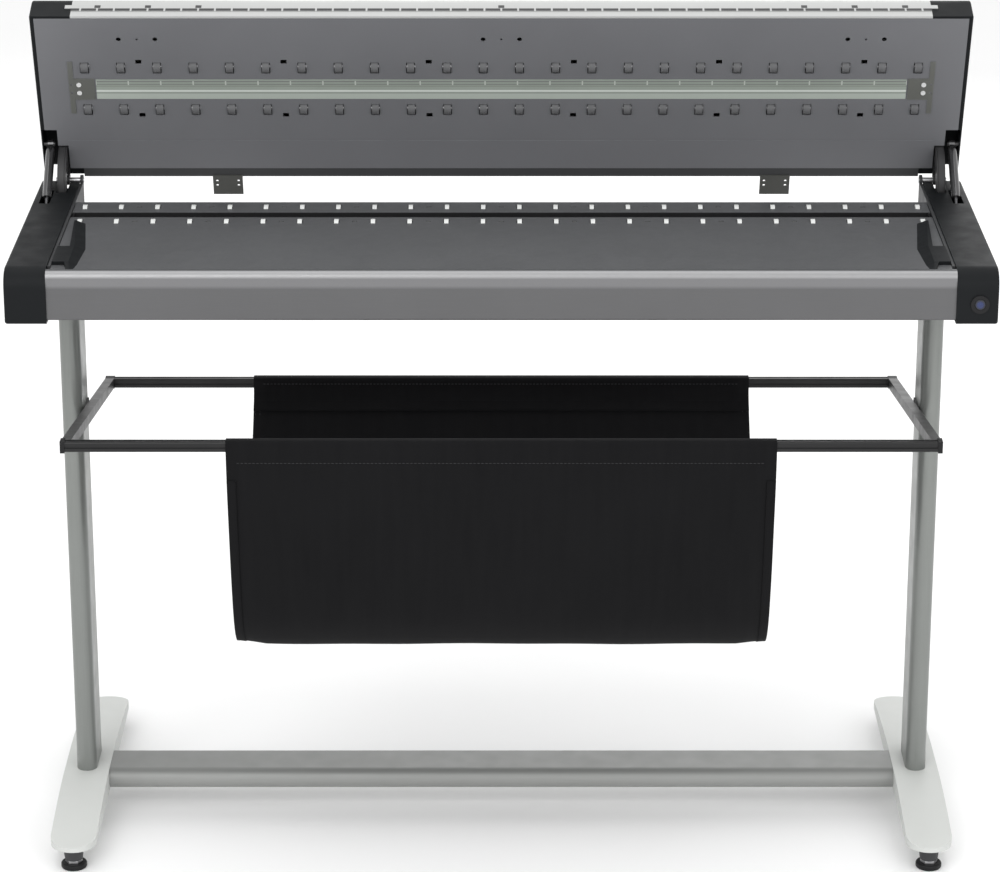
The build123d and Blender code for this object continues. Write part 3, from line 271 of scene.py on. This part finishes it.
mats = {
    look: coating(look, color, rough, **values).material
    for look, (color, rough, values) in COATINGS.items()
}


def painted(graph, mask, color):
    """Lays one more colour over the base colour where mask is 1."""
    base = graph.shader.inputs["Base Color"].links[0].from_socket
    graph.link(graph.mix(mask, base, color), graph.shader.inputs["Base Color"])


def lid_distance(graph, direction):
    """Distance from the lid's hinge axis in a direction square to it, in metres."""
    hinge = frame["joints"][0]["pos_m"]
    reach = graph.add("ShaderNodeVectorMath", operation="DOT_PRODUCT")
    graph.link(graph.place, reach.inputs[0])
    reach.inputs[1].default_value = (0.0, *direction)
    start = hinge[1] * direction[0] + hinge[2] * direction[1]
    return graph.math("SUBTRACT", reach.outputs["Value"], start)


def along_lid(graph):
    """Distance along the open lid, towards its rear."""
    return lid_distance(graph, (math.cos(OPEN_ANGLE), -math.sin(OPEN_ANGLE)))


def lid_height(graph):
    """Distance square to the open lid, from its underside outwards."""
    return lid_distance(graph, (math.sin(OPEN_ANGLE), math.cos(OPEN_ANGLE)))


def band(graph, source, low, high, soft=0.0006):
    """1 between low and high and 0 outside, with soft edges."""
    rise = graph.remap(source, 0.0, 1.0, low - soft, low + soft)
    fall = graph.remap(source, 1.0, 0.0, high - soft, high + soft)
    return graph.math("MULTIPLY", rise, fall)


def axis_value(graph, axis):
    """One coordinate of the point, in metres."""
    parts = graph.add("ShaderNodeSeparateXYZ")
    graph.link(graph.place, parts.inputs["Vector"])
    return parts.outputs[axis]


def panel():
    """Brushed panel with a painted highlight along its rolled edge and a painted light band under it, where
    the curve faces the light.
    """
    g = coating("brushed_panel", PANEL_GREY, 0.36, 0.45, mottle=0.03, grain=900.0, depth=0.02,
                stretch=BRUSHED_X, streaks=0.05, wear_and_highlight=0.2, gloss=0.4)
    height = axis_value(g, "Z")
    low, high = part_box("front_panel")
    # painted light: a paler band on the shoulder under the nose, where it faces the light
    painted_light_band = band(g, height, high.z - 22.0 * MM, high.z - 9.0 * MM, 2.5 * MM)
    painted(g, painted_light_band, (0.175, 0.175, 0.180))
    # painted highlight along the rolled nose
    painted_highlight = band(g, height, high.z - 9.5 * MM, high.z + 9.0 * MM, 1.5 * MM)
    painted(g, painted_highlight, (0.28, 0.28, 0.285))
    # the lip's top is painted table grey so that the painted highlight starts below it
    lip = g.remap(axis_value(g, "Y"), 0.0, 1.0, low.y + 5.0 * MM, low.y + 7.0 * MM)
    painted(g, lip, TABLE_GREY)
    return g.material


def sensor():
    """Plain brushed housing behind the glass."""
    g = coating("sensor_housing", (0.250, 0.272, 0.248), 0.40, 0.1, mottle=0.04, grain=900.0,
                depth=0.02, stretch=BRUSHED_X, streaks=0.05)
    return g.material


def glass():
    """Tinted strip with fine lines along it, a painted light line for the lit lamp behind it, and small white
    position marks.
    """
    g = coating("strip_glass", (0.300, 0.335, 0.300), 0.12, mottle=0.03, cloud=12.0, grain=400.0,
                depth=0.002, spread=0.02)
    g.shader.inputs["Alpha"].default_value = 0.92
    g.shader.inputs["IOR"].default_value = 1.5
    g.shader.inputs["Coat Weight"].default_value = 0.4
    g.shader.inputs["Coat Roughness"].default_value = 0.04
    reach = along_lid(g)
    wide = GLASS_NEAR - GLASS_FAR
    lines = (
        (0.08, 0.13, (0.17, 0.18, 0.17)),
        (0.22, 0.27, (0.19, 0.21, 0.19)),
        (0.32, 0.36, (0.22, 0.24, 0.21)),
        # painted light: this pale line stands for the lamp shining behind the glass
        (0.54, 0.63, (0.62, 0.66, 0.62)),
        (0.66, 0.72, (0.27, 0.30, 0.27)),
        (0.72, 1.0, (0.40, 0.44, 0.40)),
    )
    for start, end, color in lines:
        painted(g, band(g, reach, GLASS_FAR + wide * start, GLASS_FAR + wide * end), color)
    shifted = g.math("ADD", axis_value(g, "X"), 219.5 * MARK_PITCH)
    from_mark = g.math("PINGPONG", shifted, MARK_PITCH / 2)
    mark_rows = band(g, reach, GLASS_FAR + wide * 0.08, GLASS_FAR + wide * 0.28)
    marks = g.math("MULTIPLY", g.math("LESS_THAN", from_mark, 1.0 * MM), mark_rows)
    painted(g, marks, (0.46, 0.49, 0.45))
    return g.material


def screws():
    """Bright end screws, with the bolts and studs of the hinge end left dark."""
    g = coating("screw_heads", (0.80, 0.80, 0.80), 0.35, 0.3, mottle=0.05, cloud=80.0, grain=900.0,
                depth=0.02)
    outward = g.math("ABSOLUTE", axis_value(g, "X"), 0.0)
    painted(g, g.math("GREATER_THAN", outward, HINGE_END_X), (0.060, 0.060, 0.062))
    return g.material


def beam():
    """Painted tube with painted shade on its upper curve, which is coloured darker than its lower half."""
    g = coating("beam_tube", (0.265, 0.270, 0.262), 0.40, 0.15, mottle=0.03, grain=800.0, depth=0.02,
                stretch=BRUSHED_X, streaks=0.06, wear_and_highlight=0.2, gloss=0.4)
    low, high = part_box("cross_beam")
    tall = high.z - low.z
    # painted shade: the upper curve is darker, the lower half keeps the paler colour
    upper = g.remap(axis_value(g, "Z"), 0.0, 1.0, high.z - tall * 0.35, high.z)
    painted(g, upper, (0.180, 0.185, 0.178))
    return g.material


def strut():
    """Gloss black tube whose rounded sides catch the light."""
    g = coating("gloss_strut", (0.060, 0.060, 0.062), 0.20, 0.75, mottle=0.05, grain=600.0, depth=0.01,
                spread=0.04)
    g.shader.inputs["Coat Weight"].default_value = 1.0
    g.shader.inputs["Coat Roughness"].default_value = 0.08
    return g.material


def lit_button():
    """A dark cap with a soft blue glow behind its centre."""
    g = Graph("lit_button")
    low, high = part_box("power_button")
    centre = (low + high) / 2
    offset = g.add("ShaderNodeVectorMath", operation="DISTANCE")
    flat = g.scaled((1.0, 0.0, 1.0))
    g.link(flat, offset.inputs[0])
    offset.inputs[1].default_value = (centre.x, 0.0, centre.z)
    glow = g.remap(offset.outputs["Value"], 1.0, 0.0, 3.2 * MM, 6.2 * MM)
    speckle = g.noise(900.0, 3.0)
    blue = g.ramp(speckle, [(0.3, (0.010, 0.018, 0.070)), (0.7, (0.014, 0.026, 0.100))])
    g.link(g.mix(glow, (0.008, 0.009, 0.014), blue), g.shader.inputs["Base Color"])
    g.link(g.mix(glow, (0.0, 0.0, 0.0), (0.008, 0.020, 0.095)), g.shader.inputs["Emission Color"])
    g.shader.inputs["Emission Strength"].default_value = 0.15
    g.link(g.remap(speckle, 0.22, 0.34), g.shader.inputs["Roughness"])
    g.bump(speckle, 0.01 * MM)
    return g.material


def ruler():
    """White strip with a broken black line, three blocks near each end and one in the middle."""
    g = coating("printed_scale", (0.40, 0.405, 0.40), 0.4, mottle=0.01, grain=1300.0, depth=0.01)
    height = lid_height(g)
    along = axis_value(g, "X")
    across = g.math("ADD", along, 100 * BLOCK_PITCH)
    line = band(g, height, 16.4 * MM, 23.0 * MM, 0.3 * MM)
    dash = g.math("PINGPONG", across, BREAK_PITCH / 2)
    painted(g, g.math("MULTIPLY", line, g.math("GREATER_THAN", dash, 1.3 * MM)), (0.015, 0.015, 0.016))
    block = g.math("LESS_THAN", g.math("PINGPONG", across, BLOCK_PITCH / 2), 4.2 * MM)
    outward = g.math("ABSOLUTE", along, 0.0)
    near_end = g.math("GREATER_THAN", outward, 0.386)
    near_middle = g.math("LESS_THAN", outward, 0.035)
    kept = g.math("MAXIMUM", near_end, near_middle)
    upper = band(g, height, 24.0 * MM, 31.5 * MM, 0.3 * MM)
    painted(g, g.math("MULTIPLY", upper, g.math("MULTIPLY", block, kept)), (0.02, 0.02, 0.021))
    return g.material


def cloth():
    """Matte black woven polyester: plain weave, slight fade and a soft sheen."""
    g = Graph("woven_cloth")
    flat = g.add("ShaderNodeAttribute", attribute_name="flat").outputs["Vector"]
    warp = g.add("ShaderNodeTexWave", bands_direction="X")
    weft = g.add("ShaderNodeTexWave", bands_direction="Y")
    for wave in (warp, weft):
        wave.inputs["Scale"].default_value = 260.0
        wave.inputs["Distortion"].default_value = 0.4
        g.link(flat, wave.inputs["Vector"])
    weave = g.math("MAXIMUM", warp.outputs["Fac"], weft.outputs["Fac"])
    fade = g.noise(5.0, 5.0, source=flat)
    tone = g.ramp(fade, [(0.3, (0.0052, 0.0052, 0.0058)), (0.7, (0.0066, 0.0066, 0.0073))])
    slub = g.remap(g.noise(90.0, 3.0, (1.0, 0.08, 1.0), flat), 0.0, 0.5)
    thread = g.mix(g.math("MULTIPLY", slub, weave), tone, (0.0088, 0.0088, 0.0094))
    g.link(thread, g.shader.inputs["Base Color"])
    g.link(g.remap(weave, 0.78, 0.90, 0.0, 1.0), g.shader.inputs["Roughness"])
    g.shader.inputs["Sheen Weight"].default_value = 0.02
    g.shader.inputs["Sheen Roughness"].default_value = 0.5
    g.shader.inputs["Specular IOR Level"].default_value = 0.08
    g.bump(weave, 0.12 * MM)
    return g.material


MADE_LOOKS = {
    "panel": panel, "sensor": sensor, "glass": glass, "strut": strut, "button": lit_button,
    "ruler": ruler, "cloth": cloth, "beam": beam, "screws": screws,
}
for look, make in MADE_LOOKS.items():
    mats[look] = make()

LOOKS = {
    "post_grey": "post_left post_right",
    "foot_paint": "foot_bar_left foot_bar_right",
    "beam": "cross_beam",
    "steel": "post_plates stand_fasteners hinge_pins drive_shaft_front drive_shaft_rear idler_shafts",
    "black_bar": "basket_front_bar basket_rear_bar basket_arms",
    "black_plastic": "basket_fittings scan_backing shaft_supports power_inlet button_bezel "
                     "levelling_foot_front_left levelling_foot_front_right "
                     "levelling_foot_rear_left levelling_foot_rear_right",
    "charcoal": "side_cap_left side_cap_right side_guides lid_cap_left lid_cap_right",
    "frame_dark": "side_frame_left side_frame_right foot_sockets lid_rear_rail",
    "arm_face": "hinge_arms",
    "tray_grey": "base_tray io_panel",
    "table_grey": "feed_table rear_table",
    "panel": "front_panel",
    "lid_white": "lid_cover",
    "lid_grey": "lid_panel",
    "ruler": "ruler_strip",
    "glass": "scan_glass",
    "sensor": "sensor_bar",
    "retainer": "glass_retainers media_sensors",
    "bracket": "return_guides",
    "screws": "lid_fasteners",
    "roller_white": "drive_rollers_front drive_rollers_rear",
    "roller_grey": "idler_rollers_front idler_rollers_rear",
    "strut": "strut_cylinders",
    "rod": "strut_rods",
    "motor": "drive_motor motor_pulley power_supply",
    "belt": "drive_belt",
    "board": "main_board",
    "button": "power_button",
    "cloth": "sling",
}
for look, names in LOOKS.items():
    for name in names.split():
        part = frame["nodes"][name]
        part.data.materials.clear()
        part.data.materials.append(mats[look])


# ---------------------------------------------------------------------------
# Catch sling
# ---------------------------------------------------------------------------
def new_piece(name, mesh, look, body="base"):
    """A visual piece that rides on a body and wears a look."""
    piece = bpy.data.objects.new(name, mesh)
    scene.collection.objects.link(piece)
    mesh.materials.append(mats[look])
    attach(piece, body)
    return piece


def middle(node):
    """Centre of a node's box."""
    low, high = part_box(node)
    return (low + high) / 2


def corner_arc(centre, radius, start, end, steps=4):
    """Points of an arc in the YZ plane, angles in degrees from +Y towards +Z."""
    made = []
    for i in range(steps + 1):
        angle = math.radians(start + (end - start) * i / steps)
        made.append((centre[0] + radius * math.cos(angle), centre[1] + radius * math.sin(angle)))
    return made


def smooth(points, steps):
    """Catmull-Rom curve through points."""
    padded = [points[0], *points, points[-1]]
    made = []
    for a, b, c, d in zip(padded, padded[1:], padded[2:], padded[3:]):
        for i in range(steps):
            t = i / steps
            made.append(tuple(
                0.5 * (2 * b[k] + (c[k] - a[k]) * t + (2 * a[k] - 5 * b[k] + 4 * c[k] - d[k]) * t * t
                       + (3 * b[k] - a[k] - 3 * c[k] + d[k]) * t ** 3)
                for k in range(2)))
    return [*made, points[-1]]


def resample(points, pitch):
    """Evenly spaced points along a polyline, and its whole length."""
    lengths = [0.0]
    for a, b in zip(points, points[1:]):
        lengths.append(lengths[-1] + math.dist(a, b))
    count = max(2, round(lengths[-1] / pitch))
    made, k = [], 0
    for i in range(count + 1):
        target = lengths[-1] * i / count
        while k < len(points) - 2 and lengths[k + 1] < target:
            k += 1
        span = max(lengths[k + 1] - lengths[k], 1e-9)
        t = (target - lengths[k]) / span
        made.append(tuple(points[k][j] + (points[k + 1][j] - points[k][j]) * t for j in range(2)))
    return made, lengths[-1]


sling_half = 363 * MM
cloth_thick = 1.2 * MM
bar_offset = 8.1 * MM  # from a bar's centre to the middle of the cloth round it
fillet = 2.4 * MM
sleeve = 30 * MM
section_pitch = 4 * MM
fold_start = 318 * MM
hem_lift = -1.25 * MM
front_bar = middle("basket_front_bar")
rear_bar = middle("basket_rear_bar")
near = bar_offset - fillet
fy, fz = front_bar.y, front_bar.z
ry, rz = rear_bar.y, rear_bar.z

front_loop = [
    (fy - bar_offset + 4.2 * MM, fz - bar_offset - sleeve),
    (fy - bar_offset + 1.6 * MM, fz - bar_offset - 9 * MM),
    *corner_arc((fy + near, fz - near), fillet, -90, 0),
    *corner_arc((fy + near, fz + near), fillet, 0, 90),
    *corner_arc((fy - near, fz + near), fillet, 90, 180),
]
belly = [
    (fy - bar_offset, fz - near),
    (-0.2985, 0.6150),
    (-0.2880, 0.5600),
    (-0.2640, 0.4550),
    (-0.2320, 0.3740),
    (-0.1810, 0.3290),
    (-0.1060, 0.3190),
    (-0.0160, 0.3460),
    (0.0940, 0.4090),
    (0.1890, 0.4790),
    (0.2350, 0.5200),
    (ry - bar_offset - 0.4 * MM, rz - bar_offset - 5 * MM),
]
rear_loop = [
    *corner_arc((ry - near, rz - near), fillet, 200, 180, 2),
    *corner_arc((ry - near, rz + near), fillet, 180, 90),
    *corner_arc((ry + near, rz + near), fillet, 90, 0),
    *corner_arc((ry + near, rz - near), fillet, 0, -90),
    (ry - 1.5 * MM, rz - bar_offset - 4 * MM),
    (ry - bar_offset - sleeve * 0.62, rz - bar_offset - sleeve * 0.9),
]
section, sling_length = resample([*front_loop, *smooth(belly, 14), *rear_loop], section_pitch)


def side_fold(x):
    """How much a point near a free side edge curls inwards, from 0 to 1."""
    t = max(0.0, (abs(x) - fold_start) / (sling_half - fold_start))
    return t * t * (3 - 2 * t)


def sling_point(u, x, lift=0.0):
    """A point of the cloth: u is the place along the section and x across it."""
    i = min(int(u), len(section) - 2)
    t = u - i
    a, b = section[i], section[i + 1]
    y, z = a[0] + (b[0] - a[0]) * t, a[1] + (b[1] - a[1]) * t
    before, after = section[max(i - 1, 0)], section[min(i + 2, len(section) - 1)]
    length = math.dist(before, after)
    ny, nz = -(after[1] - before[1]) / length, (after[0] - before[0]) / length
    along = u / (len(section) - 1)
    slack = max(0.0, math.sin(math.pi * min(max((along - 0.10) / 0.80, 0.0), 1.0)))
    ripple = 1.3 * math.sin(x * 17 + along * 5.0) + 0.9 * math.sin(x * 41 - along * 9.0 + 1.3)
    ripple += 1.1 * math.sin(along * 37.0 + x * 4.0) * side_fold(x)
    push = slack * (ripple * MM * 0.35 + 5.0 * MM * side_fold(x)) + lift
    return Vector((x, y + ny * push, z + nz * push))


def strip_mesh(name, xs, us, lift=0.0):
    """A grid of the cloth between columns xs and rows us, with its flat place kept for the weave."""
    mesh = bpy.data.meshes.new(name)
    verts = [sling_point(u, x, lift) for u in us for x in xs]
    wide = len(xs)
    faces = [(r * wide + c, (r + 1) * wide + c, (r + 1) * wide + c + 1, r * wide + c + 1)
             for r in range(len(us) - 1) for c in range(wide - 1)]
    mesh.from_pydata([tuple(v) for v in verts], [], faces)
    place = mesh.attributes.new("flat", "FLOAT_VECTOR", "POINT")
    pitch = sling_length / (len(section) - 1)
    for i, value in enumerate((x, u * pitch, 0.0) for u in us for x in xs):
        place.data[i].vector = value
    mesh.polygons.foreach_set("use_smooth", [True] * len(faces))
    return mesh


def thicken(piece, amount):
    """Gives a sheet its thickness, half to each side."""
    solid = piece.modifiers.new("thickness", "SOLIDIFY")
    solid.thickness = amount
    solid.offset = 0.0
    solid.use_even_offset = True


columns = [sling_half * (i / 36 * 2 - 1) for i in range(37)]
rows = list(range(len(section)))
sling = new_piece("sling_cloth", strip_mesh("sling_cloth", columns, rows), "cloth")
thicken(sling, cloth_thick)
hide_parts("sling")

hem_width = 12 * MM
last = len(section) - 1
hem_rows = [u for u in rows if 0.115 * last <= u <= 0.90 * last]
for name, side in (("left", -1), ("right", 1)):
    hem_columns = [side * (sling_half - hem_width * i / 3) for i in range(4)]
    hem_mesh = strip_mesh(f"sling_hem_{name}", hem_columns, hem_rows, hem_lift)
    hem = new_piece(f"sling_hem_{name}", hem_mesh, "cloth")
    thicken(hem, cloth_thick)


def add_stitch(builder, start, end, normal):
    """One raised stitch: a flat diamond-ended bead from start to end."""
    along = (end - start).normalized()
    side = along.cross(normal).normalized()
    rings = []
    for share, grow in ((0.0, 0.35), (0.25, 1.0), (0.75, 1.0), (1.0, 0.35)):
        centre = start.lerp(end, share)
        ring = []
        for k in range(6):
            angle = math.pi * k / 3
            reach = side * (0.5 * MM * math.cos(angle) * grow) + normal * (0.42 * MM * math.sin(angle) * grow)
            ring.append(builder.verts.new(centre + reach))
        rings.append(ring)
    for a, b in zip(rings, rings[1:]):
        for k in range(6):
            builder.faces.new((a[k], a[(k + 1) % 6], b[(k + 1) % 6], b[k]))
    builder.faces.new(rings[0][::-1])
    builder.faces.new(rings[-1])


def surface_normal(u, x):
    """Direction square to the cloth at a point."""
    across = sling_point(u, x + 0.5 * MM) - sling_point(u, x - 0.5 * MM)
    along = sling_point(min(u + 0.3, last), x) - sling_point(max(u - 0.3, 0), x)
    return across.cross(along).normalized()


def stitch_between(builder, u, x, next_u, next_x):
    """A stitch on the outer face, from one place of the cloth to the next."""
    normal = surface_normal(u, x)
    inward = normal.dot(Vector((0, -1, -1))) < 0
    outward = -normal if inward else normal
    first = sling_point(u, x) + outward * face_height
    second = sling_point(next_u, next_x) + outward * face_height
    add_stitch(builder, first, second, outward)


stitch_length = 3.6 * MM
stitch_pitch = 5.2 * MM
face_height = cloth_thick / 2 + 0.15 * MM
stitch_u = stitch_length / section_pitch
builder = bmesh.new()
start_u, end_u = hem_rows[0] + 1.0, hem_rows[-1] - 1.0
for side in (-1, 1):
    for inset in (3.0 * MM, 9.5 * MM):
        x = side * (sling_half - inset)
        u = start_u
        while u < end_u:
            stitch_between(builder, u, x, u + stitch_u, x)
            u += stitch_pitch / section_pitch
for row in (24.5, last - 20.5):
    x = -sling_half + 14 * MM
    while x < sling_half - 16 * MM:
        stitch_between(builder, row, x, row, x + stitch_length)
        x += stitch_pitch
stitch_mesh = bpy.data.meshes.new("sling_stitching")
bmesh.ops.recalc_face_normals(builder, faces=builder.faces)
builder.to_mesh(stitch_mesh)
builder.free()
stitching = new_piece("sling_stitching", stitch_mesh, "thread")

# ---------------------------------------------------------------------------
# Floor
# ---------------------------------------------------------------------------
floor_mesh = bpy.data.meshes.new("floor")
floor_mesh.from_pydata([(-30, -30, 0), (30, -30, 0), (30, 30, 0), (-30, 30, 0)], [], [(0, 1, 2, 3)])
floor = bpy.data.objects.new("floor", floor_mesh)
scene.collection.objects.link(floor)
floor_mesh.materials.append(mats["floor"])
